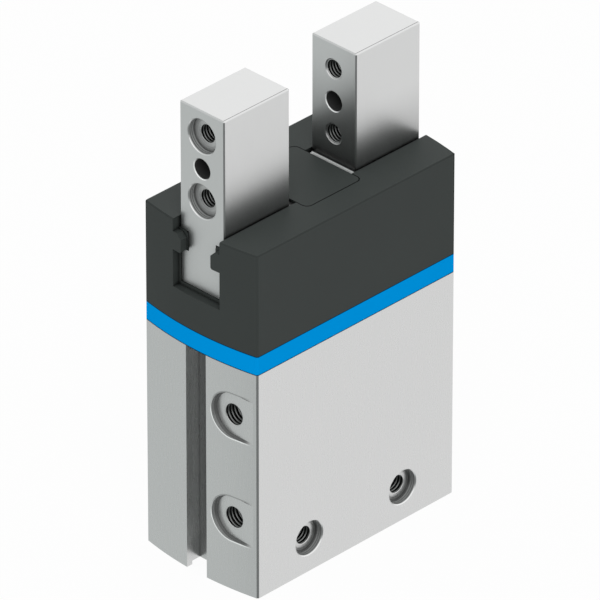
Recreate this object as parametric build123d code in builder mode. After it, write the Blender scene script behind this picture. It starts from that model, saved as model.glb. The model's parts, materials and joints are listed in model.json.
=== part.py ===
from build123d import *
from math import cos, radians, sin, sqrt
import os

# Pneumatic parallel gripper, jaws in their inner position.
# X is the jaws' travel, -Y the wide face with the mounting holes, Z up from the underside.

# Outer block, shared by body, band and head
block_length = 52.3
block_width = 29.2
end_bulge = 1.5
edge_break = 0.3
body_height = 48.7
band_height = 4.1
head_height = 21.6
head_base = body_height + band_height
head_top = head_base + head_height
end_x = block_length / 2 + end_bulge

# Plays between parts, each side
guide_play = 0.05
fit_play = 0.03
link_play = 0.1
stop_gap = 0.1
room = 0.5

# Threads and the recess for a centring sleeve
m4 = 4.0
m5 = 5.0
m4_clearance = 4.4
sleeve_diameter = 7.0
sleeve_depth = 1.6
rim_break = 0.2

# Jaws
jaw_stroke = 6.5
jaw_width = 11.5
jaw_reach = 25.75
finger_thickness = 17.05
finger_height = 24.7
carriage_gap = 0.8
ledge_drop = 0.65
jaw_hole_pitch = 13.8
locating_diameter = 4.0
jaw_break = 0.25
neck_width = 7.0
foot_width = 10.8
pocket_flare = 1.2
root_fillet = 0.4

# Guide slot of the head
recess_depth = 2.4
lip_height = 4.15
slot_depth = 13.7
block_gap = 0.3
lip_break = 0.6
mouth_drop = 0.8
mouth_gap = 0.15
mouth_break = 1.0
recess_floor = head_top - recess_depth
lip_underside = recess_floor - lip_height
guide_floor = head_top - slot_depth
recess_width = jaw_width + 2 * block_gap
lip_gap = neck_width + 2 * guide_play
cavity_width = foot_width + 2 * guide_play
mouth_plane = jaw_reach + mouth_gap

# Cover plate
plate_length = 14.4
plate_width = 17.5
plate_corner = 1.3
plate_play = 0.12
plate_thickness = ledge_drop - guide_play

# Bell-crank levers: upper arm into the jaw, inner arm into the crosshead
half_swing = 22.0
pivot_x = 10.0
pin_diameter = 4.0
pin_length = 12.0
lever_width = 5.0
hub_diameter = 6.8
inner_arm = 6.0
jaw_tip = 3.5
rod_tip = 3.0
upper_waist = 2.5
inner_waist = 2.0
waist_fillet = 0.4
pivot_z = head_base + pin_diameter / 2
upper_arm = jaw_stroke / 2 / sin(radians(half_swing))
piston_lift = 2 * inner_arm * sin(radians(half_swing))
rod_tip_z = pivot_z - inner_arm * sin(radians(half_swing))

# Crosshead on the piston rod
crosshead_length = 10.6
crosshead_width = 8.8
crosshead_wall = 1.5
crosshead_corner = 1.0
rod_slot = rod_tip + 2 * link_play
crosshead_base = rod_tip_z - rod_slot / 2 - crosshead_wall
crosshead_height = rod_slot + 2 * crosshead_wall
rod_diameter = 8.0

# Cylinder and ports
bore_diameter = 20.0
bore_web = 7.2
port_offset = 8.7
port_drop = 10.7
port_pitch = 22.5
port_depth = 8.0
port_margin = 0.7
channel_diameter = 2.0
channel_length = 24.35
port_face = 26.35
pocket_width = 9.6
pocket_fillet = 0.4
bore_top = body_height - bore_web
upper_port = body_height - port_drop
lower_port = upper_port - port_pitch

# Piston, built up from a disc, a magnet and a body
disc_flange = 1.4
magnet_height = 2.8
land = 0.7
seal_height = 2.2
guide_ring_height = 2.6
piston_low = lower_port + channel_diameter / 2 + port_margin
piston_base = piston_low + disc_flange + magnet_height
piston_top = piston_base + 4 * land + 2 * seal_height + guide_ring_height
pilot_depth = 3.0
seal_groove = 2.3
guide_groove = 1.2
hub_radius = 4.5
guide_ring_split = 1.0
seal_lip_share = 0.1
seal_notch_share = 0.55
magnet_rim = 1.2
disc_rim = 0.7
piston_screw_head = 2.6
piston_screw_length = 14.0
piston_screw_socket = 2.5

# Rod bush
bush_flange = 2.5
bush_flange_diameter = 18.0
bush_barrel = 14.0
bush_boss = 13.0
rod_seal_height = 3.0
rod_seal_depth = 1.5
bush_groove_depth = 1.15
bush_groove_height = 1.8

# End cap and its ring
cap_seat_diameter = 21.8
cap_seat_depth = 9.0
boss_diameter = 14.0
cap_groove_depth = 1.6
cap_groove_height = 1.9
cap_hollow_diameter = 7.0
cap_floor = 4.5
ring_inset = 1.2
ring_thickness = 1.2
ring_groove_depth = 0.7
ring_width = 2.0
ring_gap = 6.0
lug_radius = 1.6
lug_hole_radius = 0.7

# Mounting holes, sensor grooves and fasteners
mount_pitch = 25.0
mount_height = 7.2
mount_depth = 8.0
base_pitch = 36.0
sensor_opening = 5.2
sensor_width = 6.9
sensor_depth = 4.3
sensor_lip = 1.4
band_wall = 2.0
head_screw_x = 19.5
screw_head_diameter = 7.0
screw_head_height = 4.0
screw_head_sink = 0.3
head_screw_length = 16.0
head_screw_socket = 3.0
screw_seat = guide_floor - screw_head_height - screw_head_sink
dowel_diameter = 3.0
dowel_length = 12.0
dowel_x = 19.5
dowel_y = 9.0
dowel_base = head_base - band_height / 2 - dowel_length / 2

at_base = (Align.CENTER, Align.CENTER, Align.MIN)
at_top = (Align.CENTER, Align.CENTER, Align.MAX)
both_sides = (-1, 1)
screw_places = [(side * head_screw_x, 0) for side in both_sides]
dowel_places = [(side * dowel_x, -side * dowel_y) for side in both_sides]


def drill(places, height, diameter, depth):
    """Round hole going up from a height, at each place, in the current part."""
    with Locations(*[(x, y, height) for x, y in places]):
        Cylinder(diameter / 2, depth, align=at_base, mode=Mode.SUBTRACT)


def port_pocket(height):
    """Flat pocket around a supply port, open towards the near edge of the left narrow end."""
    with BuildPart() as pocket:
        with BuildSketch(Plane((-port_face, -port_offset, height), x_dir=(0, -1, 0), z_dir=(-1, 0, 0))):
            Circle(pocket_width / 2)
            Rectangle(block_width / 2, pocket_width, align=(Align.MIN, Align.CENTER))
        extrude(amount=2 * end_bulge)
        fillet(pocket.faces().sort_by(Axis.X)[-1].edges(), pocket_fillet)
    return pocket.part


def ring(base, height, outer, inner):
    """Plain ring between two diameters, standing on a height."""
    with BuildPart() as plain_ring:
        with BuildSketch(Plane.XY.offset(base)):
            Circle(outer / 2)
            Circle(inner / 2, mode=Mode.SUBTRACT)
        extrude(amount=height)
    return plain_ring.part


def lip_seal(inner, outer, base, height, facing):
    """Seal ring with a V between its two lips; facing is 1 for up, -1 for down."""
    lip = (outer - inner) * seal_lip_share
    middle = (inner + outer) / 4
    notch = height * seal_notch_share
    start = base if facing > 0 else base + height
    with BuildPart() as seal:
        with BuildSketch(Plane.XZ):
            with BuildLine():
                Polyline(
                    (inner / 2, start),
                    (outer / 2, start),
                    (outer / 2, start + facing * height),
                    (outer / 2 - lip, start + facing * height),
                    (middle, start + facing * (height - notch)),
                    (inner / 2 + lip, start + facing * height),
                    (inner / 2, start + facing * height),
                    close=True,
                )
            make_face()
        revolve(axis=Axis.Z)
    return seal.part


def cap_screw(head_diameter, head_height, length, socket, seat):
    """Socket head screw pointing down, its head resting on the seat height."""
    with BuildPart() as screw:
        with BuildSketch(Plane.XY.offset(seat - length)):
            Circle(m4 / 2 - fit_play)
        extrude(amount=length)
        with BuildSketch(Plane.XY.offset(seat)):
            Circle(head_diameter / 2)
        extrude(amount=head_height)
        chamfer(screw.faces().sort_by(Axis.Z)[-1].edges(), rim_break)
        with BuildSketch(Plane.XY.offset(seat + head_height)):
            RegularPolygon(socket / 2, 6, major_radius=False)
        extrude(amount=-head_height / 2, mode=Mode.SUBTRACT)
    return screw.part


# Outline of the block: straight wide sides and narrow ends that curve out
with BuildSketch() as block_outline:
    with BuildLine():
        half_length = block_length / 2
        half_width = block_width / 2
        Line((-half_length, -half_width), (half_length, -half_width))
        ThreePointArc((half_length, -half_width), (end_x, 0), (half_length, half_width))
        Line((half_length, half_width), (-half_length, half_width))
        ThreePointArc((-half_length, half_width), (-end_x, 0), (-half_length, -half_width))
    make_face()
    chamfer(block_outline.vertices(), edge_break)

# Body housing
with BuildPart() as body_housing:
    with BuildSketch():
        add(block_outline.sketch)
    extrude(amount=body_height)
    # Cylinder bore, seat of the end cap with its ring groove, seat of the rod bush
    drill([(0, 0)], 0, bore_diameter, bore_top)
    drill([(0, 0)], 0, cap_seat_diameter, cap_seat_depth)
    drill([(0, 0)], ring_inset, cap_seat_diameter + 2 * ring_groove_depth, ring_thickness)
    drill([(0, 0)], 0, bush_barrel + 2 * fit_play, body_height)
    drill([(0, 0)], body_height - bush_flange, bush_flange_diameter + 2 * fit_play, bush_flange)
    # Threads for the head screws and holes for the dowels, from the top
    drill(screw_places, screw_seat - head_screw_length - room, m4, body_height)
    drill(dowel_places, dowel_base, dowel_diameter + 2 * fit_play, body_height)
    # T-shaped sensor grooves along both narrow ends
    with BuildSketch():
        with Locations((end_x - sensor_depth, 0)):
            Rectangle(2 * sensor_depth, sensor_opening, align=(Align.MIN, Align.CENTER))
            Rectangle(sensor_depth - sensor_lip, sensor_width, align=(Align.MIN, Align.CENTER))
        mirror(about=Plane.YZ)
    extrude(amount=body_height, mode=Mode.SUBTRACT)
    # Supply ports on the left narrow end, with pockets and channels to the bore
    for port_height in (lower_port, upper_port):
        add(port_pocket(port_height), mode=Mode.SUBTRACT)
        with Locations(Plane((-port_face, -port_offset, port_height), z_dir=(-1, 0, 0))):
            Cylinder(m5 / 2, port_depth, align=at_top, mode=Mode.SUBTRACT)
            Cylinder(channel_diameter / 2, channel_length, align=at_top, mode=Mode.SUBTRACT)
    # Mounting threads with centring recesses: two on the wide face, two underneath
    with Locations(Plane((0, -block_width / 2, mount_height), x_dir=(1, 0, 0), z_dir=(0, -1, 0))):
        with GridLocations(mount_pitch, 1, 2, 1):
            CounterBoreHole(m4 / 2, sleeve_diameter / 2, sleeve_depth, mount_depth)
    with Locations(Plane((0, 0, 0), x_dir=(1, 0, 0), z_dir=(0, 0, -1))):
        with GridLocations(base_pitch, 1, 2, 1):
            CounterBoreHole(m4 / 2, sleeve_diameter / 2, sleeve_depth, mount_depth)
    wide_face = body_housing.faces().sort_by(Axis.Y)[0]
    chamfer(wide_face.edges().filter_by(GeomType.CIRCLE), rim_break)
    underside = body_housing.faces().sort_by(Axis.Z)[0]
    rims = underside.edges().filter_by(GeomType.CIRCLE)
    chamfer(rims.filter_by(lambda rim: rim.radius < cap_seat_diameter), rim_break)

# Colour band: a ring around the bearing plate
with BuildPart() as colour_band:
    with BuildSketch(Plane.XY.offset(body_height)):
        add(block_outline.sketch)
        offset(block_outline.sketch, amount=-band_wall, mode=Mode.SUBTRACT)
    extrude(amount=band_height)

# Bearing plate: carries the lever pins and clamps the rod bush
with BuildPart() as bearing_plate:
    with BuildSketch(Plane.XY.offset(body_height)):
        offset(block_outline.sketch, amount=-band_wall - fit_play)
        Rectangle(crosshead_length + 2 * room, crosshead_width + 2 * room, mode=Mode.SUBTRACT)
        lever_slot_length = 2 * pivot_x + hub_diameter + 2 * room
        lever_slot_width = lever_width + room
        Rectangle(lever_slot_length, lever_slot_width, mode=Mode.SUBTRACT)
    extrude(amount=band_height)
    drill(screw_places, body_height, m4_clearance, band_height)
    drill(dowel_places, body_height, dowel_diameter + 2 * fit_play, band_height)

# Section of the head's guide slot, and the wider one at its mouths
with BuildSketch(Plane.YZ) as guide_section:
    with Locations((0, head_top)):
        Rectangle(recess_width, recess_depth, align=(Align.CENTER, Align.MAX))
        Rectangle(lip_gap, slot_depth, align=(Align.CENTER, Align.MAX))
    with Locations((0, guide_floor)):
        Rectangle(cavity_width, lip_underside - guide_floor, align=(Align.CENTER, Align.MIN))
    lip_corners = guide_section.vertices().filter_by(lambda v: abs(abs(v.X) - lip_gap / 2) < 0.01)
    chamfer(lip_corners, lip_break)

with BuildSketch(Plane.YZ) as mouth_section:
    mouth_lip_gap = lip_gap + 2 * block_gap
    mouth_recess = recess_depth + block_gap
    with Locations((0, head_top)):
        Rectangle(recess_width, mouth_recess, align=(Align.CENTER, Align.MAX))
        Rectangle(mouth_lip_gap, slot_depth, align=(Align.CENTER, Align.MAX))
    with Locations((0, lip_underside)):
        mouth_height = lip_underside - guide_floor + mouth_drop
        Rectangle(recess_width, mouth_height, align=(Align.CENTER, Align.MAX))
    mouth_corners = mouth_section.vertices().filter_by(
        lambda v: abs(abs(v.X) - mouth_lip_gap / 2) < 0.01 and v.Y > lip_underside
    )
    chamfer(mouth_corners, mouth_break)

# Guide head
with BuildPart() as guide_head:
    with BuildSketch(Plane.XY.offset(head_base)):
        add(block_outline.sketch)
    extrude(amount=head_height)
    chamfer(guide_head.faces().sort_by(Axis.Z)[-1].edges(), jaw_break)
    extrude(guide_section.sketch, amount=block_length, both=True, mode=Mode.SUBTRACT)
    for side in both_sides:
        with BuildSketch(Plane.YZ.offset(side * mouth_plane)):
            add(mouth_section.sketch_local)
        extrude(amount=side * block_length, mode=Mode.SUBTRACT)
    # Chamber of the crosshead and the levers, open into the guide slot
    with BuildSketch(Plane.XY.offset(head_base)):
        Rectangle(crosshead_length + 2 * room, crosshead_width + 2 * room)
        Rectangle(lever_slot_length, lever_slot_width)
    extrude(amount=guide_floor - head_base, mode=Mode.SUBTRACT)
    # Seats of the lever pins, open below
    with BuildSketch(Plane.XZ):
        with Locations(*[(side * pivot_x, pivot_z) for side in both_sides]):
            Circle(pin_diameter / 2 + fit_play)
            Rectangle(pin_diameter + 2 * fit_play, pin_diameter, align=(Align.CENTER, Align.MAX))
    extrude(amount=pin_length / 2 + fit_play, both=True, mode=Mode.SUBTRACT)
    # Head screws, dowels and the recess of the cover plate
    drill(screw_places, head_base, m4_clearance, guide_floor - head_base)
    drill(screw_places, screw_seat, screw_head_diameter + room, guide_floor - screw_seat)
    dowel_top = dowel_base + dowel_length
    drill(dowel_places, head_base, dowel_diameter + 2 * fit_play, dowel_top - head_base + fit_play)
    with BuildSketch(Plane.XY.offset(head_top)):
        RectangleRounded(plate_length + 2 * plate_play, plate_width + 2 * plate_play, plate_corner)
    extrude(amount=-plate_thickness, mode=Mode.SUBTRACT)

# Cover plate between the fingers
with BuildPart() as cover_plate:
    with BuildSketch(Plane.XY.offset(head_top - plate_thickness)):
        RectangleRounded(plate_length, plate_width, plate_corner)
    extrude(amount=plate_thickness)

# Right jaw: carriage in the guide slot, finger block above it
foot_bottom = guide_floor + guide_play
foot_top = lip_underside - guide_play
shoulder_bottom = recess_floor + guide_play
ledge_top = head_top - ledge_drop
jaw_top = head_top + finger_height
finger_middle = head_top + finger_height / 2
finger_inner = jaw_reach - finger_thickness
pocket_x = pivot_x - jaw_stroke / 2
pocket_top = pivot_z + upper_arm + jaw_tip / 2 + link_play

with BuildPart() as jaw_right:
    with BuildSketch(Plane.YZ.offset(carriage_gap / 2)):
        with Locations((0, foot_bottom)):
            Rectangle(foot_width, foot_top - foot_bottom, align=(Align.CENTER, Align.MIN))
            Rectangle(neck_width, ledge_top - foot_bottom, align=(Align.CENTER, Align.MIN))
        with Locations((0, shoulder_bottom)):
            Rectangle(jaw_width, ledge_top - shoulder_bottom, align=(Align.CENTER, Align.MIN))
    extrude(amount=jaw_reach - carriage_gap / 2)
    with BuildSketch(Plane.YZ.offset(finger_inner)):
        with Locations((0, shoulder_bottom)):
            Rectangle(jaw_width, jaw_top - shoulder_bottom, align=(Align.CENTER, Align.MIN))
    extrude(amount=finger_thickness)
    ledge_edges = jaw_right.edges().filter_by_position(Axis.Z, ledge_top - 0.01, ledge_top + 0.01)
    root_edge = ledge_edges.filter_by(Axis.Y).sort_by(Axis.X)[-1]
    fillet(root_edge, root_fillet)
    tall_edges = jaw_right.edges().filter_by(Axis.Z).filter_by(lambda e: e.length > finger_height)
    top_edges = jaw_right.faces().sort_by(Axis.Z)[-1].edges()
    chamfer(tall_edges + top_edges, jaw_break)
    # Threads with centring recesses, locating hole between them
    with Locations(Plane((jaw_reach, 0, finger_middle), x_dir=(0, 1, 0), z_dir=(1, 0, 0))):
        with GridLocations(1, jaw_hole_pitch, 1, 2):
            CounterBoreHole(m4 / 2, sleeve_diameter / 2, sleeve_depth, finger_thickness)
        Hole(locating_diameter / 2, finger_thickness)
    grip_face = jaw_right.faces().filter_by_position(Axis.X, finger_inner - 0.01, finger_inner + 0.01)
    outer_face = jaw_right.faces().sort_by(Axis.X)[-1]
    hole_rims = grip_face.edges() + outer_face.edges()
    chamfer(hole_rims.filter_by(GeomType.CIRCLE), rim_break)
    # Pocket for the lever's upper tip, flared where the arm enters
    with BuildSketch(Plane.XZ):
        with BuildLine():
            half_pocket = jaw_tip / 2 + link_play
            Polyline(
                (pocket_x - half_pocket - pocket_flare, foot_bottom),
                (pocket_x + half_pocket + pocket_flare, foot_bottom),
                (pocket_x + half_pocket, foot_bottom + pocket_flare),
                (pocket_x + half_pocket, pocket_top),
                (pocket_x - half_pocket, pocket_top),
                (pocket_x - half_pocket, foot_bottom + pocket_flare),
                close=True,
            )
        make_face()
    extrude(amount=lever_slot_width / 2, both=True, mode=Mode.SUBTRACT)

# Left jaw
with BuildPart() as jaw_left:
    mirror(jaw_right.part, about=Plane.YZ)

# Right lever, leaning inwards while the jaws are closed
lean = radians(half_swing)
lever_plane = Plane((pivot_x, 0, pivot_z), x_dir=(cos(lean), 0, sin(lean)), z_dir=(0, -1, 0))
with BuildPart() as lever_right:
    with BuildSketch(lever_plane) as lever_profile:
        with Locations(Location((0, 0), 90)):
            Circle(hub_diameter / 2)
        with Locations(Location((0, upper_arm), -90)):
            Circle(jaw_tip / 2)
        with Locations((-inner_arm, 0)):
            Circle(rod_tip / 2)
        Rectangle(upper_waist, upper_arm, align=(Align.CENTER, Align.MIN))
        Rectangle(inner_arm, inner_waist, align=(Align.MAX, Align.CENTER))
        fillet(lever_profile.vertices(), waist_fillet)
        Circle(pin_diameter / 2 + fit_play, mode=Mode.SUBTRACT)
    extrude(amount=lever_width / 2, both=True)

# Left lever
with BuildPart() as lever_left:
    mirror(lever_right.part, about=Plane.YZ)

# Pivot pins of both levers
with BuildPart() as lever_pins:
    with BuildSketch(Plane.XZ):
        with Locations(*[(side * pivot_x, pivot_z) for side in both_sides]):
            Circle(pin_diameter / 2)
    extrude(amount=pin_length / 2, both=True)
    chamfer(lever_pins.edges().filter_by(GeomType.CIRCLE), rim_break)

# Piston rod with its forked crosshead
rod_foot = piston_top - pilot_depth
with BuildPart() as piston_rod:
    with BuildSketch(Plane.XY.offset(rod_foot)):
        Circle(rod_diameter / 2)
    extrude(amount=crosshead_base - rod_foot)
    with BuildSketch(Plane.XY.offset(crosshead_base)):
        RectangleRounded(crosshead_length, crosshead_width, crosshead_corner)
    extrude(amount=crosshead_height)
    with BuildSketch(Plane.XZ):
        with Locations((pivot_x - inner_arm - rod_slot / 2, rod_tip_z)):
            Rectangle(crosshead_length, rod_slot, align=(Align.MIN, Align.CENTER))
        mirror(about=Plane.YZ)
    extrude(amount=crosshead_width, both=True, mode=Mode.SUBTRACT)
    screw_seat_z = piston_low + piston_screw_head + stop_gap
    drill([(0, 0)], rod_foot, m4, screw_seat_z + piston_screw_length - rod_foot + room)

# Piston body with grooves for two seals and a guide ring
piston_diameter = bore_diameter - 2 * fit_play
seal_bed = bore_diameter - 2 * seal_groove
guide_bed = bore_diameter - 2 * guide_groove
lower_seal = piston_base + land
guide_base = lower_seal + seal_height + land
upper_seal = guide_base + guide_ring_height + land
with BuildPart() as piston:
    with BuildSketch(Plane.XY.offset(piston_base)):
        Circle(piston_diameter / 2)
    extrude(amount=piston_top - piston_base)
    add(ring(lower_seal, seal_height, bore_diameter, seal_bed), mode=Mode.SUBTRACT)
    add(ring(guide_base, guide_ring_height, bore_diameter, guide_bed), mode=Mode.SUBTRACT)
    add(ring(upper_seal, seal_height, bore_diameter, seal_bed), mode=Mode.SUBTRACT)
    drill([(0, 0)], piston_base, m4_clearance, piston_top - piston_base)
    drill([(0, 0)], rod_foot, rod_diameter + 2 * fit_play, pilot_depth)

# Disc that clamps the magnet under the piston
with BuildPart() as piston_disc:
    with BuildSketch(Plane.XY.offset(piston_low)):
        Circle(bore_diameter / 2 - disc_rim)
    extrude(amount=disc_flange)
    with BuildSketch(Plane.XY.offset(piston_low)):
        Circle(hub_radius)
    extrude(amount=piston_base - piston_low)
    drill([(0, 0)], piston_low, m4_clearance, piston_base - piston_low)
    drill([(0, 0)], piston_low, screw_head_diameter + room, screw_seat_z - piston_low)

with BuildPart() as piston_magnet:
    with BuildSketch(Plane.XY.offset(piston_low + disc_flange)):
        Circle(bore_diameter / 2 - magnet_rim)
        Circle(hub_radius + fit_play, mode=Mode.SUBTRACT)
    extrude(amount=magnet_height)

# Screw through disc and piston up into the rod
with BuildPart() as piston_screw:
    add(
        cap_screw(
            screw_head_diameter, piston_screw_head, piston_screw_length, piston_screw_socket, -screw_seat_z
        )
    )
    mirror(about=Plane.XY, mode=Mode.REPLACE)

with BuildPart() as piston_seals:
    add(lip_seal(seal_bed, piston_diameter, lower_seal, seal_height, -1))
    add(lip_seal(seal_bed, piston_diameter, upper_seal, seal_height, 1))

# Split guide ring
with BuildPart() as piston_guide_ring:
    add(ring(guide_base, guide_ring_height, piston_diameter, guide_bed))
    with Locations((0, bore_diameter / 2, guide_base)):
        Box(guide_ring_split, bore_diameter / 2, guide_ring_height, align=at_base, mode=Mode.SUBTRACT)

# Rod bush: flange in the body's top, barrel in the web, boss down to the piston's upper stop
bush_bottom = piston_top + piston_lift + stop_gap
rod_seal_base = bush_bottom + bush_groove_height
bush_groove_base = bore_top + bush_groove_height
with BuildPart() as rod_bush:
    with BuildSketch(Plane.XY.offset(bush_bottom)):
        Circle(bush_boss / 2)
    extrude(amount=body_height - bush_bottom)
    with BuildSketch(Plane.XY.offset(bore_top)):
        Circle(bush_barrel / 2)
    extrude(amount=bore_web)
    with BuildSketch(Plane.XY.offset(body_height - bush_flange)):
        Circle(bush_flange_diameter / 2)
    extrude(amount=bush_flange)
    drill([(0, 0)], bush_bottom, rod_diameter + 2 * fit_play, body_height - bush_bottom)
    rod_seal_bed = rod_diameter + 2 * rod_seal_depth
    add(ring(rod_seal_base, rod_seal_height, rod_seal_bed, rod_diameter), mode=Mode.SUBTRACT)
    bush_bed = bush_barrel - 2 * bush_groove_depth
    add(ring(bush_groove_base, bush_groove_height, bush_barrel, bush_bed), mode=Mode.SUBTRACT)

with BuildPart() as rod_seal:
    add(lip_seal(rod_diameter + 2 * fit_play, rod_seal_bed, rod_seal_base, rod_seal_height, -1))

with BuildPart() as bush_oring:
    bush_ring_section = bush_groove_depth - 2 * fit_play
    with Locations((0, 0, bush_groove_base + bush_groove_height / 2)):
        Torus((bush_barrel - bush_groove_depth) / 2, bush_ring_section / 2)

# End cap with the boss that is the piston's lower stop
cap_base = ring_inset + ring_thickness
cap_groove_base = cap_base + (cap_seat_depth - cap_base - cap_groove_height) / 2
boss_top = piston_low - stop_gap
with BuildPart() as end_cap:
    with BuildSketch(Plane.XY.offset(cap_base)):
        Circle(cap_seat_diameter / 2 - fit_play)
    extrude(amount=cap_seat_depth - cap_base)
    with BuildSketch(Plane.XY.offset(cap_base)):
        Circle(boss_diameter / 2)
    extrude(amount=boss_top - cap_base)
    cap_bed = cap_seat_diameter - 2 * cap_groove_depth
    add(ring(cap_groove_base, cap_groove_height, cap_seat_diameter, cap_bed), mode=Mode.SUBTRACT)
    drill([(0, 0)], cap_base, cap_hollow_diameter, boss_top - cap_base - cap_floor)
    chamfer(end_cap.faces().sort_by(Axis.Z)[-1].edges(), rim_break)

with BuildPart() as end_cap_oring:
    cap_ring_section = cap_groove_depth - 2 * fit_play
    with Locations((0, 0, cap_groove_base + cap_groove_height / 2)):
        Torus((cap_seat_diameter - cap_groove_depth) / 2, cap_ring_section / 2)

# Retaining ring with two lugs for pliers
with BuildPart() as retaining_ring:
    ring_outer = cap_seat_diameter / 2 + ring_groove_depth - fit_play
    lug_x = ring_gap / 2 + lug_radius / 2
    lug_y = sqrt((ring_outer - lug_radius) ** 2 - lug_x**2) - fit_play
    with BuildSketch(Plane.XY.offset(ring_inset)):
        Circle(ring_outer)
        Circle(ring_outer - ring_width, mode=Mode.SUBTRACT)
        with Locations((0, ring_outer)):
            Rectangle(ring_gap, 3 * ring_width, mode=Mode.SUBTRACT)
        with Locations(*[(side * lug_x, lug_y) for side in both_sides]):
            Circle(lug_radius)
            Circle(lug_hole_radius, mode=Mode.SUBTRACT)
    extrude(amount=ring_thickness)

# Head screws and dowel pins
with BuildPart() as head_screws:
    with Locations(*[(x, y, 0) for x, y in screw_places]):
        add(
            cap_screw(
                screw_head_diameter, screw_head_height, head_screw_length, head_screw_socket, screw_seat
            )
        )

with BuildPart() as dowel_pins:
    with Locations(*[(x, y, dowel_base) for x, y in dowel_places]):
        Cylinder(dowel_diameter / 2, dowel_length, align=at_base)
    chamfer(dowel_pins.edges().filter_by(GeomType.CIRCLE), rim_break)

pieces = {
    "body_housing": body_housing,
    "colour_band": colour_band,
    "bearing_plate": bearing_plate,
    "guide_head": guide_head,
    "cover_plate": cover_plate,
    "jaw_left": jaw_left,
    "jaw_right": jaw_right,
    "lever_left": lever_left,
    "lever_right": lever_right,
    "lever_pins": lever_pins,
    "piston_rod": piston_rod,
    "piston": piston,
    "piston_disc": piston_disc,
    "piston_magnet": piston_magnet,
    "piston_screw": piston_screw,
    "piston_seals": piston_seals,
    "piston_guide_ring": piston_guide_ring,
    "rod_bush": rod_bush,
    "rod_seal": rod_seal,
    "bush_oring": bush_oring,
    "end_cap": end_cap,
    "end_cap_oring": end_cap_oring,
    "retaining_ring": retaining_ring,
    "head_screws": head_screws,
    "dowel_pins": dowel_pins,
}

os.makedirs("parts", exist_ok=True)
for label, piece in pieces.items():
    piece.part.label = label
    export_step(piece.part, f"parts/{label}.step")
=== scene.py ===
import json
import math

import bmesh
import bpy
from mathutils import Matrix, Vector


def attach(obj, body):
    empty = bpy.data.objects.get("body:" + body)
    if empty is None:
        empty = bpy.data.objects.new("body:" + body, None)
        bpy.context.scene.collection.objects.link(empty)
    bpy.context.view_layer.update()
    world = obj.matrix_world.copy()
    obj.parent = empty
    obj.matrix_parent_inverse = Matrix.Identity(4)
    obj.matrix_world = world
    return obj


MM = 0.001

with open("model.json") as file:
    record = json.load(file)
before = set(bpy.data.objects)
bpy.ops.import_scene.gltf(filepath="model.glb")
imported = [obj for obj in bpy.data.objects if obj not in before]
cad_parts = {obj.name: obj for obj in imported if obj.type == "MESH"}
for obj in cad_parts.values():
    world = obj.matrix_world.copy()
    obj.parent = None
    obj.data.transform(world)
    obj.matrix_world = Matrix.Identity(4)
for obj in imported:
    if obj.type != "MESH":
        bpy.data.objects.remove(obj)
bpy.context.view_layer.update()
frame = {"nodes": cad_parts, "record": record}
nodes = frame["nodes"]
slots = {part["node"]: part["material_slot"] for part in frame["record"]["subparts"]}


# Places on the part in mm: X along the jaws' travel, Y towards the back, Z up from the underside

BODY_HALF = 14.6
BAND_MIDDLE = 50.75
BAND_HALF = 2.05
HEAD_TOP = 74.4
HEAD_CORNER = 26.15
PLATE_HALF_LENGTH = 7.2
PLATE_HALF_WIDTH = 8.75
PLATE_CORNER = 1.3
LEDGE_TOP = 73.75
JAW_TOP = 99.1
JAW_MIDDLE = 86.75
JAW_OUTER = 25.75
JAW_HALF = 5.75
JAW_HALF_PITCH = 6.9
FINGER_INNER = 8.7
FINGER_THICKNESS = 17.05
LOCATING_RADIUS = 2.0
RECESS_RADIUS = 3.5
RECESS_DEPTH = 1.6
PORT_MIDDLE = 26.75
PORT_HALF_PITCH = 11.25
PORT_OFFSET = 8.7
POCKET_HALF = 4.8
POCKET_FLOOR = -26.35
MOUNT_HALF_PITCH = 12.5
MOUNT_HEIGHT = 7.2
BASE_HALF_PITCH = 18.0


# Nodes that the materials and the world are built from

def plug(tree, value, socket):
    """Give a socket a number, a colour or the output of another node."""
    if isinstance(value, bpy.types.NodeSocket):
        tree.links.new(value, socket)
    else:
        socket.default_value = value


def math_node(tree, operation, *values):
    """Math node on numbers or sockets; returns its output."""
    node = tree.nodes.new("ShaderNodeMath")
    node.operation = operation
    for socket, value in zip(node.inputs, values):
        plug(tree, value, socket)
    return node.outputs[0]


def product(tree, first, *others):
    """Product of numbers and sockets."""
    for other in others:
        first = math_node(tree, "MULTIPLY", first, other)
    return first


def difference(tree, value, other):
    """A value less another."""
    return math_node(tree, "SUBTRACT", value, other)


def magnitude(tree, value):
    """A value without its sign."""
    return math_node(tree, "ABSOLUTE", value)


def length_of(tree, across, along):
    """Length of an offset given in two directions at right angles."""
    squares = [product(tree, offset, offset) for offset in (across, along)]
    return math_node(tree, "SQRT", math_node(tree, "ADD", *squares))


def ease(tree, value, start, end, low=0.0, high=1.0):
    """Smooth step from low to high as a value goes from start to end; start may be above end."""
    node = tree.nodes.new("ShaderNodeMapRange")
    node.interpolation_type = "SMOOTHSTEP"
    node.inputs["From Min"].default_value = start
    node.inputs["From Max"].default_value = end
    node.inputs["To Min"].default_value = low
    node.inputs["To Max"].default_value = high
    tree.links.new(value, node.inputs["Value"])
    return node.outputs["Result"]


def stripe(tree, value, start, end, soft=0.02):
    """1 between two values, 0 outside them, with edges as soft as given."""
    rise = ease(tree, value, start - soft, start + soft)
    fall = ease(tree, value, end - soft, end + soft)
    return difference(tree, rise, fall)


def toned(tree, mask, tone):
    """Factor that is 1 where the mask is 0 and the tone where it is 1."""
    return math_node(tree, "ADD", 1.0, product(tree, mask, tone - 1.0))


def mixed(tree, factor, first, second, blend="MIX"):
    """Mix of two colours."""
    node = tree.nodes.new("ShaderNodeMix")
    node.data_type = "RGBA"
    node.blend_type = blend
    for name, value in (("Factor", factor), ("A", first), ("B", second)):
        plug(tree, value, node.inputs[name])
    return node.outputs["Result"]


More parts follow.
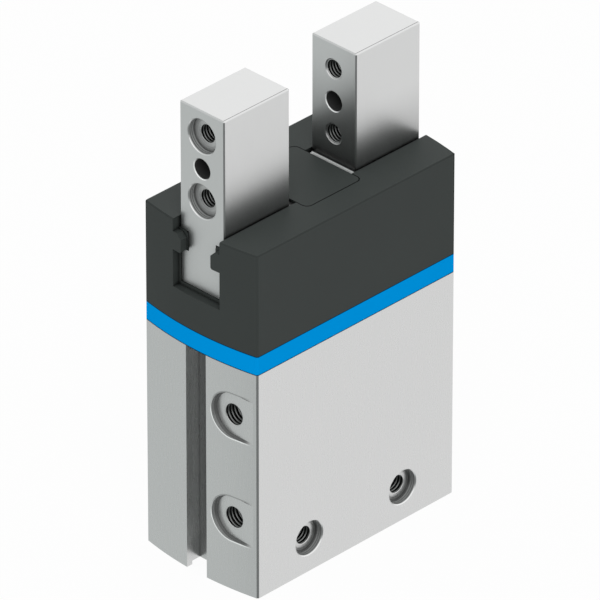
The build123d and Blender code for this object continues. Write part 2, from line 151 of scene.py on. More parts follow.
def place_of(tree, coords):
    """X, Y and Z of a point of the object, in mm."""
    parts = tree.nodes.new("ShaderNodeSeparateXYZ")
    tree.links.new(coords.outputs["Object"], parts.inputs[0])
    return [product(tree, axis, 1 / MM) for axis in parts.outputs]


# Grain, relief and painted shade in corners: grains and reaches in metres, openness from 0 to 1

NOISE_RANGE = (0.25, 0.75)
BROAD_GRAIN = 0.018
BROAD_DETAIL = 2.0
ROUGHNESS_SPREAD = (0.9, 1.12)
GRAINS_PER_RELIEF = 6
CORNER_SAMPLES = 8
JOINT_REACH = 0.0009
JOINT_OPENNESS = (0.25, 0.92)
TIGHT_OPENNESS = (0.12, 0.75)
HOLLOW_REACH = 0.0045
HOLLOW_OPENNESS = (0.05, 0.3)
SHELTER_REACH = 0.014
SHELTER_OPENNESS = (0.4, 0.92)


def noise(tree, coords, size, stretch=(1, 1, 1), detail=3.0):
    """Noise texture whose features are about size metres, stretched per axis."""
    mapping = tree.nodes.new("ShaderNodeMapping")
    mapping.inputs["Scale"].default_value = stretch
    tree.links.new(coords.outputs["Object"], mapping.inputs["Vector"])
    texture = tree.nodes.new("ShaderNodeTexNoise")
    texture.inputs["Scale"].default_value = 1 / size
    texture.inputs["Detail"].default_value = detail
    tree.links.new(mapping.outputs["Vector"], texture.inputs["Vector"])
    return texture.outputs["Fac"]


def between(tree, value, low, high):
    """A noise value mapped to the range from low to high."""
    ranged = tree.nodes.new("ShaderNodeMapRange")
    ranged.inputs["From Min"].default_value = NOISE_RANGE[0]
    ranged.inputs["From Max"].default_value = NOISE_RANGE[1]
    ranged.inputs["To Min"].default_value = low
    ranged.inputs["To Max"].default_value = high
    tree.links.new(value, ranged.inputs["Value"])
    return ranged.outputs["Result"]


def tinted(tree, value, colour, spread):
    """Colour varied in lightness by a value."""
    darker = (*[channel * (1 - spread) for channel in colour], 1)
    lighter = (*[min(1, channel * (1 + spread)) for channel in colour], 1)
    return mixed(tree, value, darker, lighter)


def bumped(tree, shader, height, strength, distance):
    """Bump from a height value on the shader's normal."""
    bump = tree.nodes.new("ShaderNodeBump")
    bump.inputs["Strength"].default_value = strength
    bump.inputs["Distance"].default_value = distance
    tree.links.new(height, bump.inputs["Height"])
    tree.links.new(bump.outputs["Normal"], shader.inputs["Normal"])


def openness(tree, distance, alone):
    """Share of the surroundings within a distance that is open; alone looks at the same piece only."""
    node = tree.nodes.new("ShaderNodeAmbientOcclusion")
    node.samples = CORNER_SAMPLES
    node.only_local = alone
    node.inputs["Distance"].default_value = distance
    return node.outputs["AO"]


def painted_corner_shade(tree, seam_shade, cavity_shade, shelter_shade, alone, tight):
    """Painted shade in corners: a factor with its own tone where surfaces meet, in holes and beside walls."""
    limits = TIGHT_OPENNESS if tight else JOINT_OPENNESS
    joint = ease(tree, openness(tree, JOINT_REACH, alone), *limits, seam_shade, 1.0)
    hollow = ease(tree, openness(tree, HOLLOW_REACH, alone), *HOLLOW_OPENNESS, cavity_shade, 1.0)
    beside = ease(tree, openness(tree, SHELTER_REACH, alone), *SHELTER_OPENNESS, shelter_shade, 1.0)
    return product(tree, joint, hollow, beside)


# Each mask from here to the body's is where it starts and ends in mm, then its tones or its soft edge


# Band: painted shade in the joints along its edges

BAND_SEAM_SHADE = (BAND_HALF - 0.26, BAND_HALF - 0.08, 1.0, 0.06)


def band_seam_shade(tree, coords):
    """Dark lines painted as shade in the joints along both edges of the band."""
    height = place_of(tree, coords)[2]
    return ease(tree, magnitude(tree, difference(tree, height, BAND_MIDDLE)), *BAND_SEAM_SHADE)


# Head: painted shade on the walls, the broken edges, two corners and in the gap around the cover plate

HEAD_WALL_SHADE = (HEAD_TOP - 0.28, HEAD_TOP - 0.05, 0.86, 1.0)
HEAD_RIM = (HEAD_TOP - 0.26, HEAD_TOP - 0.03)
RIM_SHADE_TONE = 0.74
OPPOSITE_SIGNS = (1.0, -1.0)
CORNER_ALONG = (HEAD_CORNER - 0.52, HEAD_CORNER - 0.48)
CORNER_ACROSS = (BODY_HALF - 0.52, BODY_HALF - 0.48)
CORNER_SHADE_TONE = 0.5
PLATE_GAP_SHADE = (PLATE_CORNER - 0.08, PLATE_CORNER + 0.2)
PLATE_LEVEL = (HEAD_TOP - 0.06, HEAD_TOP - 0.02)
PLATE_SHADE_TONE = 0.4


def head_painted_shade(tree, coords):
    """Painted shade: walls darker than the top, a dark rim, two dark corners and a dark line in the gap
    around the cover plate.
    """
    x, y, height = place_of(tree, coords)
    two_corners = ease(tree, product(tree, x, y), *OPPOSITE_SIGNS)
    x = magnitude(tree, x)
    y = magnitude(tree, y)
    walls = ease(tree, height, *HEAD_WALL_SHADE)
    rim = toned(tree, stripe(tree, height, *HEAD_RIM), RIM_SHADE_TONE)
    corner = product(tree, ease(tree, x, *CORNER_ALONG), ease(tree, y, *CORNER_ACROSS), two_corners)
    past = [math_node(tree, "MAXIMUM", difference(tree, offset, half - PLATE_CORNER), 0.0)
            for offset, half in ((x, PLATE_HALF_LENGTH), (y, PLATE_HALF_WIDTH))]
    seam_shade = product(tree, stripe(tree, length_of(tree, *past), *PLATE_GAP_SHADE), ease(tree, height, *PLATE_LEVEL))
    edges = product(tree, rim, toned(tree, corner, CORNER_SHADE_TONE))
    return product(tree, walls, edges, toned(tree, seam_shade, PLATE_SHADE_TONE))


# Recesses of the threaded holes, on the jaws and on the wide face: painted shade, dark rings and a painted
# highlight on the rim

# Painted shade over the recess, two dark rings and a painted highlight ring just outside its rim
RECESS_SHADE = (2.55, 3.54, 0.35)
RECESS_RINGS_AND_HIGHLIGHT = ((2.62, 2.76, 0.7), (3.1, 3.24, 0.6), (3.56, 3.72, 1.3))
RECESS_WALL = (RECESS_RADIUS - 0.04, RECESS_RADIUS + 0.02)
WALL_LINES = ((0.38, 0.55), (0.82, 0.98), (1.3, 1.62))
WALL_LINE_EDGE = 0.03


def recess_shade_and_rings(tree, across, along, inside, shade_tone):
    """Painted shade in a round recess, dark rings on it and a painted highlight around its rim, from the
    offsets to its axis and a mask of its depth.
    """
    radius = length_of(tree, across, along)
    factor = toned(tree, product(tree, stripe(tree, radius, *RECESS_SHADE), inside), shade_tone)
    for start, end, tone in RECESS_RINGS_AND_HIGHLIGHT:
        ring = product(tree, stripe(tree, radius, start, end), inside)
        factor = product(tree, factor, toned(tree, ring, tone))
    return factor


def depth_lines(tree, depth):
    """Fine dark lines around the wall of a recess, by depth below its mouth."""
    lines, *others = [stripe(tree, depth, start, end, WALL_LINE_EDGE) for start, end in WALL_LINES]
    for other in others:
        lines = math_node(tree, "MAXIMUM", lines, other)
    return lines


# Jaws: painted shadow and shade lines, painted shade fading towards the foot, and areas of painted shade and
# highlight

# Painted shadow at the finger's inner root and a painted shade line along the near top edge
INNER_FACE = (FINGER_INNER + 0.01, FINGER_INNER + 0.2, 1.0, 0.0)
ROOT_RISE = (LEDGE_TOP + 0.1, LEDGE_TOP + 0.25)
ROOT_FALL = (LEDGE_TOP + 0.35, LEDGE_TOP + 1.1, 0.8, 0.0)
LID_LEVEL = (JAW_TOP - 0.03, JAW_TOP - 0.01)
LID_LINE = (0.25 - JAW_HALF, 0.42 - JAW_HALF)
LID_SHADE_TONE = 0.4
# Painted shade growing towards the foot on the grip face and on the sides
GRIP_SIDE = (FINGER_INNER + 0.1, FINGER_INNER + 0.3, 1.0, 0.0)
GRIP_SHADE_FADE = (81.0, 97.0, 0.32, 0.0)
SIDE_SHADE_FADE = (77.0, 88.0, 0.18, 0.0)
SHORT_OF_OUTER = (JAW_OUTER - 0.3, JAW_OUTER - 0.1, 1.0, 0.0)
OUTER_PART = (JAW_OUTER - 2.0, JAW_OUTER - 1.8)
JAW_RECESS_SHADE = 0.8
BORE_MOUTH = (LOCATING_RADIUS + 0.02, LOCATING_RADIUS + 0.06, 1.0, 0.0)
BORE_LIP = (LOCATING_RADIUS + 0.06, LOCATING_RADIUS + 0.24)
LOWER_SIDE = (0.2, 1.6)
JAW_RECESS_DEPTH = (JAW_OUTER - 1.7, JAW_OUTER - 1.5)
FLOOR_RING = (2.3, RECESS_RADIUS - 0.08, 0.06)
FLOOR_DEPTH = (JAW_OUTER - 1.75, JAW_OUTER - 1.65)
FLOOR_LIGHT_SHARE = 0.55
LEDGE_REACH = (FINGER_INNER - 0.7, FINGER_INNER + 0.01)
LEDGE_LEVEL = (LEDGE_TOP - 0.02, LEDGE_TOP + 0.12)
RIGHT_JAW = (-1.0, 1.0)
FOOT_REACH = (-FINGER_INNER - 0.45, 1.6 - FINGER_INNER)
FOOT_NEAR = (2.4 - JAW_HALF, 2.2 - JAW_HALF)
FOOT_LEVEL = (LEDGE_TOP - 0.6, LEDGE_TOP + 1.0)
# Greys of painted shade in the bore, a painted highlight on its lip, a lighter painted grey on the floor,
# painted shade on the wall, dark lines, painted light on the right ledge and painted shade on the left foot
JAW_PAINTED_GREYS = {"bore": 0.06, "lip": 1.0, "floor": 0.62, "wall": 0.38, "lines": 0.12, "ledge": 0.6, "foot": 0.05}


def jaw_painted_shade(tree, coords):
    """Painted shade: a black line as the shadow at a finger's inner root, a thin line on its top, darker
    towards the foot, and the recesses' painted shade and rings.
    """
    x, y, height = place_of(tree, coords)
    x = magnitude(tree, x)
    rise = ease(tree, height, *ROOT_RISE)
    fall = ease(tree, height, *ROOT_FALL)
    root = product(tree, ease(tree, x, *INNER_FACE), rise, fall)
    lid_line = product(tree, ease(tree, height, *LID_LEVEL), stripe(tree, y, *LID_LINE))
    side_fade = product(tree, ease(tree, height, *SIDE_SHADE_FADE), ease(tree, x, *SHORT_OF_OUTER))
    grip = ease(tree, x, *GRIP_SIDE)
    fades = math_node(tree, "ADD", product(tree, grip, ease(tree, height, *GRIP_SHADE_FADE)),
                      product(tree, difference(tree, 1.0, grip), side_fade))
    level = magnitude(tree, difference(tree, height, JAW_MIDDLE))
    off = difference(tree, level, JAW_HALF_PITCH)
    recess = recess_shade_and_rings(tree, y, off, ease(tree, x, *OUTER_PART), JAW_RECESS_SHADE)
    lines = product(tree, toned(tree, root, 0.0), toned(tree, lid_line, LID_SHADE_TONE))
    return product(tree, recess, difference(tree, 1.0, fades), lines)


def jaw_painted_light(tree, coords):
    """Masks and greys of painted light and shade: the locating hole, the recesses, the right jaw's ledge and
    the left jaw's foot.
    """
    signed, y, height = place_of(tree, coords)
    x = magnitude(tree, signed)
    level = difference(tree, height, JAW_MIDDLE)
    away = length_of(tree, y, level)
    below = ease(tree, difference(tree, y, level), *LOWER_SIDE)
    radius = length_of(tree, y, difference(tree, magnitude(tree, level), JAW_HALF_PITCH))
    wall = product(tree, stripe(tree, radius, *RECESS_WALL), ease(tree, x, *JAW_RECESS_DEPTH))
    deep = product(tree, ease(tree, x, *FLOOR_DEPTH), FLOOR_LIGHT_SHARE)
    ledge = product(tree, stripe(tree, x, *LEDGE_REACH), stripe(tree, height, *LEDGE_LEVEL))
    foot = product(tree, stripe(tree, signed, *FOOT_REACH), ease(tree, y, *FOOT_NEAR))
    masks = {
        "bore": ease(tree, away, *BORE_MOUTH),
        "lip": product(tree, stripe(tree, away, *BORE_LIP), below),
        "floor": product(tree, stripe(tree, radius, *FLOOR_RING), deep),
        "wall": wall,
        "lines": product(tree, wall, depth_lines(tree, difference(tree, JAW_OUTER, x))),
        "ledge": product(tree, ledge, ease(tree, signed, *RIGHT_JAW)),
        "foot": product(tree, foot, stripe(tree, height, *FOOT_LEVEL)),
    }
    return [(mask, JAW_PAINTED_GREYS[name]) for name, mask in masks.items()]


# Body: port pockets on the left end and recesses on the wide face, with painted shade and highlights

LEFT_END = (-24.0, -24.5)
NEAR_FADE = (-13.5, -11.0)
POCKET_WALL = (POCKET_HALF - 0.42, POCKET_HALF + 0.01, 0.01)
POCKET_LIP = (POCKET_HALF + 0.02, POCKET_HALF + 0.26, 0.02)
UPPER_PART = (1.0, 3.5)
LOWER_PART = (1.0, -1.0)
# Painted shade on the upper lip of the pockets
UPPER_LIP_SHADE = 0.62
POCKET_FOOT = (POCKET_FLOOR - 0.45, POCKET_FLOOR + 0.1, 0.08)
WIDE_FACE = (-12.6, -12.8)
WIDE_RECESS_DEPTH = (-12.9, -13.1)
WIDE_RECESS_SHADE = 0.62
# Greys of painted shade on the pockets' wall and darker at its foot, a painted highlight on the lower lip,
# painted shade on the recess wall and its dark lines
BODY_PAINTED_GREYS = {"wall": 0.27, "foot": 0.11, "lip": 1.0, "recess": 0.34, "lines": 0.1}


def pocket_masks(tree, coords):
    """Wall of the port pockets and the upper and the lower part of the lip around it."""
    x, y, height = place_of(tree, coords)
    end = product(tree, ease(tree, x, *LEFT_END), ease(tree, y, *NEAR_FADE))
    above = difference(tree, height, PORT_MIDDLE)
    off = difference(tree, magnitude(tree, above), PORT_HALF_PITCH)
    side = math_node(tree, "MAXIMUM", math_node(tree, "ADD", y, PORT_OFFSET), 0.0)
    away = length_of(tree, side, off)
    wall = product(tree, stripe(tree, away, *POCKET_WALL), end)
    lip = product(tree, stripe(tree, away, *POCKET_LIP), end)
    upper = product(tree, math_node(tree, "SIGN", above), off)
    upper_lip = product(tree, lip, ease(tree, upper, *UPPER_PART))
    lower_lip = product(tree, lip, ease(tree, upper, *LOWER_PART))
    return wall, upper_lip, lower_lip


def mount_offsets(tree, x, height):
    """Offsets to the axis of the nearer mounting hole on the wide face."""
    aside = difference(tree, magnitude(tree, x), MOUNT_HALF_PITCH)
    return aside, difference(tree, height, MOUNT_HEIGHT)


def pocket_rim_shade(tree, coords):
    """Painted shade on the upper lip of the port pockets and in the recesses on the wide face."""
    x, y, height = place_of(tree, coords)
    upper_lip = pocket_masks(tree, coords)[1]
    near = ease(tree, y, *WIDE_FACE)
    recess = recess_shade_and_rings(tree, *mount_offsets(tree, x, height), near, WIDE_RECESS_SHADE)
    return product(tree, toned(tree, upper_lip, UPPER_LIP_SHADE), recess)


def body_painted_light(tree, coords):
    """Masks and greys of painted light and shade: the pockets' wall, its foot and lower lip, and the recesses
    on the wide face.
    """
    x, y, height = place_of(tree, coords)
    wall, _, lower_lip = pocket_masks(tree, coords)
    away = length_of(tree, *mount_offsets(tree, x, height))
    recess = product(tree, stripe(tree, away, *RECESS_WALL), ease(tree, y, *WIDE_RECESS_DEPTH))
    masks = {
        "wall": wall,
        "foot": product(tree, wall, stripe(tree, x, *POCKET_FOOT)),
        "lip": lower_lip,
        "recess": recess,
        "lines": product(tree, recess, depth_lines(tree, math_node(tree, "ADD", y, BODY_HALF))),
    }
    return [(mask, BODY_PAINTED_GREYS[name]) for name, mask in masks.items()]


# Materials: grain in metres, relief as the bump's strength, and the tones of painted shade at joints, in
# holes and beside walls

# Share of metalness kept and tint of the greys in the areas of painted shade and highlight
PATCH_SHINE = 0.25
PATCH_TINT = (0.97, 1.0, 0.99)


def new_material(name):
    """Material with a Principled shader; returns it, its node tree, the shader and the coordinates."""
    material = bpy.data.materials.new(name)
    material.use_nodes = True
    tree = material.node_tree
    tree.nodes.clear()
    output = tree.nodes.new("ShaderNodeOutputMaterial")
    shader = tree.nodes.new("ShaderNodeBsdfPrincipled")
    tree.links.new(shader.outputs["BSDF"], output.inputs["Surface"])
    coords = tree.nodes.new("ShaderNodeTexCoord")
    return material, tree, shader, coords


def painted_light_patches(tree, shader, colour, metallic, painted_patches):
    """Colour and metalness with areas, each a mask and a grey, of painted shade, painted highlight and dark
    lines that scatter light instead of mirroring.
    """
    shader.inputs["Metallic"].default_value = metallic
    shine = metallic
    for mask, grey in painted_patches:
        colour = mixed(tree, mask, colour, (*[grey * share for share in PATCH_TINT], 1))
        shine = product(tree, shine, toned(tree, mask, PATCH_SHINE))
    if painted_patches:
        tree.links.new(shine, shader.inputs["Metallic"])
    tree.links.new(colour, shader.inputs["Base Color"])


def finish(slot, colour, metallic, rough, grain, relief, stretch=(1, 1, 1), spread=0.03, specular=0.5,
           seam_shade=0.4, cavity_shade=0.3, shelter_shade=1.0, alone=False, tight=False, painted_light=None, painted_patches=None):
    """Material of a slot: colour and roughness varied by a fine grain, with its relief, painted shade in
    corners and painted light and shade in its own masks.
    """
    material, tree, shader, coords = new_material(slot)
    shader.inputs["Specular IOR Level"].default_value = specular
    fine = noise(tree, coords, grain, stretch)
    broad = noise(tree, coords, BROAD_GRAIN, detail=BROAD_DETAIL)
    shade = painted_corner_shade(tree, seam_shade, cavity_shade, shelter_shade, alone, tight)
    if painted_light:
        shade = product(tree, shade, painted_light(tree, coords))
    shaded = mixed(tree, 1.0, tinted(tree, broad, colour, spread), shade, "MULTIPLY")
    painted_light_patches(tree, shader, shaded, metallic, painted_patches(tree, coords) if painted_patches else [])
    varied = between(tree, fine, *[rough * share for share in ROUGHNESS_SPREAD])
    tree.links.new(varied, shader.inputs["Roughness"])
    bumped(tree, shader, fine, relief, grain / GRAINS_PER_RELIEF)
    return material


FINISHES = {
    "anodised_body": dict(colour=(0.775, 0.778, 0.775), metallic=1.0, rough=0.28, grain=0.00025, relief=0.013,
                          stretch=(1, 1, 0.06), spread=0.008, shelter_shade=0.88, alone=True, tight=True,
                          painted_light=pocket_rim_shade, painted_patches=body_painted_light),
    "blue_band": dict(colour=(0.0, 0.305, 0.77), metallic=0.0, rough=0.45, grain=0.0002, relief=0.06,
                      spread=0.02, specular=0.0, seam_shade=0.8, cavity_shade=1.0, painted_light=band_seam_shade),
    "dark_head": dict(colour=(0.050, 0.0575, 0.055), metallic=0.0, rough=0.5, grain=0.00018, relief=0.10,
                      spread=0.05, specular=0.10, seam_shade=0.25, cavity_shade=0.35, painted_light=head_painted_shade),
    "jaw_steel": dict(colour=(0.78, 0.785, 0.782), metallic=1.0, rough=0.33, grain=0.0003, relief=0.022,
                      stretch=(1, 1, 0.05), spread=0.01, cavity_shade=0.6, shelter_shade=0.46,
                      painted_light=jaw_painted_shade, painted_patches=jaw_painted_light),
    # Thread ridge darkened and thread root near black, as painted shade deep in the holes
    "thread_ridge_shaded": dict(colour=(0.27, 0.28, 0.275), metallic=1.0, rough=0.35, grain=0.0003, relief=0.04,
                         spread=0.02, seam_shade=0.7, cavity_shade=0.8),
    "thread_root_shade": dict(colour=(0.006, 0.0065, 0.0065), metallic=0.0, rough=0.6, grain=0.0003, relief=0.04,
                        spread=0.02, specular=0.2, seam_shade=1.0, cavity_shade=1.0),
    "steel": dict(colour=(0.56, 0.56, 0.57), metallic=1.0, rough=0.28, grain=0.0004, relief=0.06,
                  stretch=(0.2, 1, 1)),
    "black_screw": dict(colour=(0.03, 0.03, 0.032), metallic=0.6, rough=0.4, grain=0.0003, relief=0.08,
                        spread=0.05),
    "bronze": dict(colour=(0.56, 0.36, 0.17), metallic=1.0, rough=0.35, grain=0.0003, relief=0.08,
                   stretch=(0.3, 0.3, 1)),
    "seal_rubber": dict(colour=(0.018, 0.018, 0.019), metallic=0.0, rough=0.6, grain=0.0004, relief=0.15,
                        spread=0.1, specular=0.3),
    "guide_plastic": dict(colour=(0.74, 0.70, 0.60), metallic=0.0, rough=0.5, grain=0.0004, relief=0.1,
                          spread=0.04),
    "magnet": dict(colour=(0.09, 0.09, 0.095), metallic=0.3, rough=0.6, grain=0.0003, relief=0.2,
                   spread=0.08),
}
materials = {slot: finish(slot, **look) for slot, look in FINISHES.items()}
for name, node in nodes.items():
    node.data.materials.clear()
    node.data.materials.append(materials[slots[name]])


# Threads in mm: a narrow lip at the mouth, a root painted near black as shade and a darkened helical ridge,
# inside the CAD holes
# The half widths of the ridge and its crest are shares of the pitch

M4 = {"radius": 2.0, "crest": 1.8, "pitch": 0.7}
M5 = {"radius": 2.5, "crest": 2.17, "pitch": 0.8}
ROUND_STEPS = 56
TURN_STEPS = 44
LIP_GAP = 0.01
LIP_BREAK = 0.05
LIP_START = 0.06
LIP_END = 0.14
LIP_DEPTH = 0.2
ROOT_CLEARANCE = 0.02
END_DEPTH = 0.1
END_DISC = 0.2
END_RADIUS = 0.05
RIDGE_START = 0.25
RIDGE_SHORT = 0.5
RIDGE_CLEARANCE = 0.03
RIDGE_HALF = 0.27
CREST_HALF = 0.15
CREST_BREAK = 0.02
RUN_OUT_TURNS = 0.5
JAW_THREAD_GAP = 0.2
WALL_THREAD = 6.0
PORT_THREAD = 7.4
SIDES = (("left", -1), ("right", 1))
LEVELS = (("lower", -1), ("upper", 1))


def ring_frame(inward):
    """Unit vectors along and across a hole whose depth runs along inward."""
    inward = Vector(inward).normalized()
    across = inward.orthogonal().normalized()
    return inward, across, inward.cross(across)


def skin(mesh, rows):
    """Faces between each row of vertices and the next."""
    for here, there in zip(rows, rows[1:]):
        for k in range(len(here) - 1):
            mesh.faces.new((here[k], here[k + 1], there[k + 1], there[k]))


def scene_piece(name, mesh, body, finish_name):
    """Smooth piece from a bmesh, riding on a body, with a material by name."""
    mesh.normal_update()
    data = bpy.data.meshes.new(name)
    mesh.to_mesh(data)
    mesh.free()
    data.polygons.foreach_set("use_smooth", [True] * len(data.polygons))
    data.materials.append(materials[finish_name])
    piece = bpy.data.objects.new(name, data)
    bpy.context.scene.collection.objects.link(piece)
    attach(piece, body)


def revolved(name, body, finish_name, mouth, inward, profile):
    """Surface of revolution around a hole's axis; profile gives (radius, depth) in mm."""
    inward, across, up = ring_frame(inward)
    mesh = bmesh.new()
    rows = []
    for step in range(ROUND_STEPS):
        angle = 2 * math.pi * step / ROUND_STEPS
        out = across * math.cos(angle) + up * math.sin(angle)
        rows.append([mesh.verts.new((Vector(mouth) + inward * depth + out * radius) * MM)
                     for radius, depth in profile])
    skin(mesh, rows + rows[:1])
    scene_piece(name, mesh, body, finish_name)


def ridge(name, body, mouth, inward, radius, crest, pitch, length):
    """Right-handed helical ridge that rises from the root and runs out at both ends."""
    inward, across, up = ring_frame(inward)
    start = Vector(mouth) + inward * RIDGE_START
    mesh = bmesh.new()
    count = int((length - RIDGE_SHORT) / pitch * TURN_STEPS)
    run_out = TURN_STEPS * RUN_OUT_TURNS
    root = radius - RIDGE_CLEARANCE
    flank = crest + CREST_BREAK
    profile = ((root, -RIDGE_HALF), (flank, -CREST_HALF), (crest, 0), (flank, CREST_HALF), (root, RIDGE_HALF))
    rows = []
    for step in range(count + 1):
        angle = 2 * math.pi * step / TURN_STEPS
        along = step / TURN_STEPS * pitch
        rise = min(1, step / run_out, (count - step) / run_out)
        out = across * math.cos(angle) + up * math.sin(angle)
        row = []
        for reach, offset in profile:
            reach = root - (root - reach) * rise
            depth = max(0, along + offset * pitch)
            row.append(mesh.verts.new((start + inward * depth + out * reach) * MM))
        rows.append(row)
    skin(mesh, rows)
    scene_piece(name, mesh, body, "thread_ridge_shaded")


def thread(name, body, slot, mouth, inward, length, radius, crest, pitch):
    """Internal thread from its mouth inwards: lip at the crest's radius, a root painted dark as shade and a
    darkened ridge.
    """
    root = radius - ROOT_CLEARANCE
    lip = ((radius - LIP_GAP, LIP_GAP), (crest + LIP_BREAK, LIP_GAP), (crest, LIP_START), (crest, LIP_END),
           (radius - RIDGE_CLEARANCE, LIP_DEPTH))
    revolved(f"{name}_lip", body, slot, mouth, inward, lip)
    end = length + END_DEPTH
    dark = ((root, LIP_DEPTH), (root, length), (END_DISC, end), (END_RADIUS, end))
    revolved(f"{name}_root", body, "thread_root_shade", mouth, inward, dark)
    ridge(name, body, mouth, inward, radius, crest, pitch, length)


for label, side in SIDES:
    body = f"jaw_{label}"
    for level, up in LEVELS:
        height = JAW_MIDDLE + up * JAW_HALF_PITCH
        outer = (side * (JAW_OUTER - RECESS_DEPTH), 0, height)
        inner = (side * (JAW_OUTER - FINGER_THICKNESS + JAW_THREAD_GAP), 0, height)
        length = (FINGER_THICKNESS - RECESS_DEPTH - JAW_THREAD_GAP) / 2 - JAW_THREAD_GAP
        for end, mouth, inward in (("outer", outer, -side), ("inner", inner, side)):
            thread(f"thread_{body}_{level}_{end}", body, "jaw_steel", mouth, (inward, 0, 0), length, **M4)
for level, up in LEVELS:
    mouth = (POCKET_FLOOR, -PORT_OFFSET, PORT_MIDDLE + up * PORT_HALF_PITCH)
    thread(f"thread_port_{level}", "housing", "anodised_body", mouth, (1, 0, 0), PORT_THREAD, **M5)
for label, side in SIDES:
    mouth = (side * MOUNT_HALF_PITCH, -BODY_HALF + RECESS_DEPTH, MOUNT_HEIGHT)
    thread(f"thread_wide_{label}", "housing", "anodised_body", mouth, (0, 1, 0), WALL_THREAD, **M4)
for label, side in SIDES:
    mouth = (side * BASE_HALF_PITCH, 0, RECESS_DEPTH)
    thread(f"thread_base_{label}", "housing", "anodised_body", mouth, (0, 0, 1), WALL_THREAD, **M4)


# Floor, light and camera, in metres and degrees

AIM = Vector((0, 0, 0.05))
FLOOR_REACH = 6.0
FLOOR_HEIGHT = -0.00005
FLOOR_CORNERS = ((-1, -1), (1, -1), (1, 1), (-1, 1))
FLOOR_GREY = (0.85, 0.85, 0.85, 1)
FLOOR_WHITE_SHARE = 0.95
WHITE = (1, 1, 1, 1)
AMBIENT = 0.76
DIAGONAL = 0.7071
MIRRORED_FLOOR = (-0.6, 0.6, 0.585, 0.83)
MIRRORED_NEAR = (0.3, 0.8, 1.0, 0.22)
MIRRORED_SKY = (-0.95, -0.4, 0.55, 1.0)
HORIZON = (-0.2, 0.25)
SHADE_TINT = (0.95, 1.0, 0.988, 1)
TINT_RANGE = (0.5, 0.8)
KEY_PLACE = (-0.62, -0.66, 1.25)
KEY_SIZE = 0.9
KEY_POWER = 5
CAMERA_AZIMUTH = -45.4781
CAMERA_ELEVATION = 31.3476
CAMERA_ROLL = 0.0152
CAMERA_DISTANCE = 2.046688
CAMERA_RIGHT_SHIFT = 0.0001153
CAMERA_UP_SHIFT = 0.0020630
CAMERA_LENS = 660
CAMERA_SENSOR = 36
CAMERA_CLIP = (0.1, 20)


def stage_floor():
    """Pale floor that keeps a soft shadow; metal mirrors the world in its place."""
    mesh = bpy.data.meshes.new("floor")
    corners = [(x * FLOOR_REACH, y * FLOOR_REACH, FLOOR_HEIGHT) for x, y in FLOOR_CORNERS]
    mesh.from_pydata(corners, [], [(0, 1, 2, 3)])
    floor = bpy.data.objects.new("floor", mesh)
    bpy.context.scene.collection.objects.link(floor)
    material = bpy.data.materials.new("floor_white")
    material.use_nodes = True
    tree = material.node_tree
    tree.nodes.clear()
    output = tree.nodes.new("ShaderNodeOutputMaterial")
    mix = tree.nodes.new("ShaderNodeMixShader")
    lit = tree.nodes.new("ShaderNodeBsdfDiffuse")
    lit.inputs["Color"].default_value = FLOOR_GREY
    glow = tree.nodes.new("ShaderNodeEmission")
    glow.inputs["Color"].default_value = WHITE
    glow.inputs["Strength"].default_value = 1.0
    seen = tree.nodes.new("ShaderNodeLightPath")
    tree.links.new(product(tree, seen.outputs["Is Camera Ray"], FLOOR_WHITE_SHARE), mix.inputs["Fac"])
    tree.links.new(lit.outputs[0], mix.inputs[1])
    tree.links.new(glow.outputs[0], mix.inputs[2])
    tree.links.new(mix.outputs[0], output.inputs["Surface"])
    mesh.materials.append(material)
    floor.visible_glossy = False


def shared(tree, share, where_one, where_zero):
    """One value where the share is 1, another where it is 0."""
    return math_node(tree, "ADD", product(tree, share, where_one),
                     product(tree, difference(tree, 1, share), where_zero))


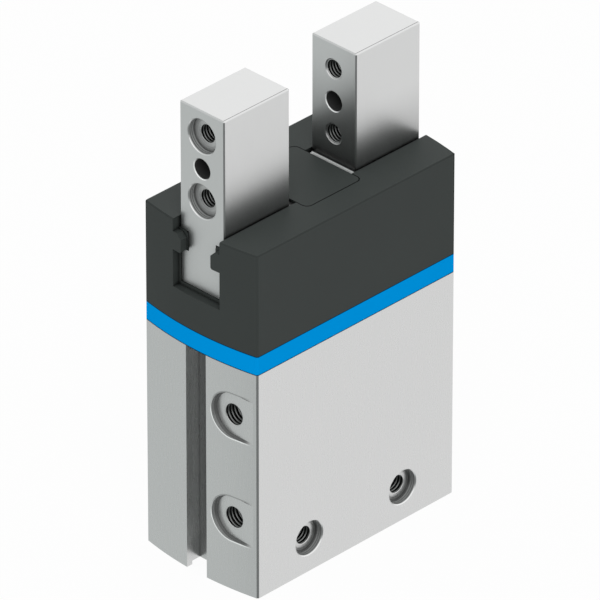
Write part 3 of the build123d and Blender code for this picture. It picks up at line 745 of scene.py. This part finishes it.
def studio_world():
    """White seen directly; in metal a white dome over a floor that falls off towards the camera's side."""
    world = bpy.data.worlds.new("studio")
    world.use_nodes = True
    bpy.context.scene.world = world
    tree = world.node_tree
    tree.nodes.clear()
    output = tree.nodes.new("ShaderNodeOutputWorld")
    background = tree.nodes.new("ShaderNodeBackground")
    coords = tree.nodes.new("ShaderNodeTexCoord")
    parts = tree.nodes.new("ShaderNodeSeparateXYZ")
    tree.links.new(coords.outputs["Generated"], parts.inputs[0])
    x, y, z = parts.outputs
    right = product(tree, difference(tree, x, y), DIAGONAL)
    near = product(tree, math_node(tree, "ADD", x, y), -DIAGONAL)
    floor_tone = product(tree, ease(tree, right, *MIRRORED_FLOOR), ease(tree, near, *MIRRORED_NEAR))
    sky_tone = ease(tree, right, *MIRRORED_SKY)
    mirrored = shared(tree, ease(tree, z, *HORIZON), sky_tone, floor_tone)
    rays = tree.nodes.new("ShaderNodeLightPath")
    plain = math_node(tree, "MAXIMUM", rays.outputs["Is Camera Ray"], rays.outputs["Is Transmission Ray"])
    lit = math_node(tree, "ADD", AMBIENT, product(tree, plain, 1 - AMBIENT))
    gloss = rays.outputs["Is Glossy Ray"]
    plug(tree, shared(tree, gloss, mirrored, lit), background.inputs["Strength"])
    tint = mixed(tree, ease(tree, mirrored, *TINT_RANGE), SHADE_TINT, WHITE)
    plug(tree, mixed(tree, gloss, WHITE, tint), background.inputs["Color"])
    tree.links.new(background.outputs[0], output.inputs["Surface"])


def softbox(name, place, size, power):
    """Area lamp aimed at the middle of the object."""
    data = bpy.data.lights.new(name, "AREA")
    data.shape = "DISK"
    data.size = size
    data.energy = power
    lamp = bpy.data.objects.new(name, data)
    bpy.context.scene.collection.objects.link(lamp)
    lamp.location = place
    lamp.rotation_euler = (AIM - Vector(place)).to_track_quat("-Z", "Y").to_euler()
    lamp.visible_glossy = False


def photo_camera():
    """Camera fitted to the corners of the object in the photograph."""
    azimuth = math.radians(CAMERA_AZIMUTH)
    elevation = math.radians(CAMERA_ELEVATION)
    roll = math.radians(CAMERA_ROLL)
    level = math.cos(elevation)
    back = Vector((math.sin(azimuth) * level, -math.cos(azimuth) * level, math.sin(elevation)))
    right = Vector((math.cos(azimuth), math.sin(azimuth), 0))
    up = back.cross(right)
    right_rolled = right * math.cos(roll) + up * math.sin(roll)
    up_rolled = up * math.cos(roll) - right * math.sin(roll)
    data = bpy.data.cameras.new("photo")
    data.sensor_fit = "HORIZONTAL"
    data.sensor_width = CAMERA_SENSOR
    data.lens = CAMERA_LENS
    data.clip_start, data.clip_end = CAMERA_CLIP
    camera = bpy.data.objects.new("photo", data)
    bpy.context.scene.collection.objects.link(camera)
    place = AIM + back * CAMERA_DISTANCE - right_rolled * CAMERA_RIGHT_SHIFT - up_rolled * CAMERA_UP_SHIFT
    turn = Matrix((right_rolled, up_rolled, back)).transposed()
    camera.matrix_world = Matrix.Translation(place) @ turn.to_4x4()
    bpy.context.scene.camera = camera


stage_floor()
studio_world()
softbox("key", KEY_PLACE, KEY_SIZE, KEY_POWER)
photo_camera()
bpy.context.scene.view_settings.view_transform = "Standard"
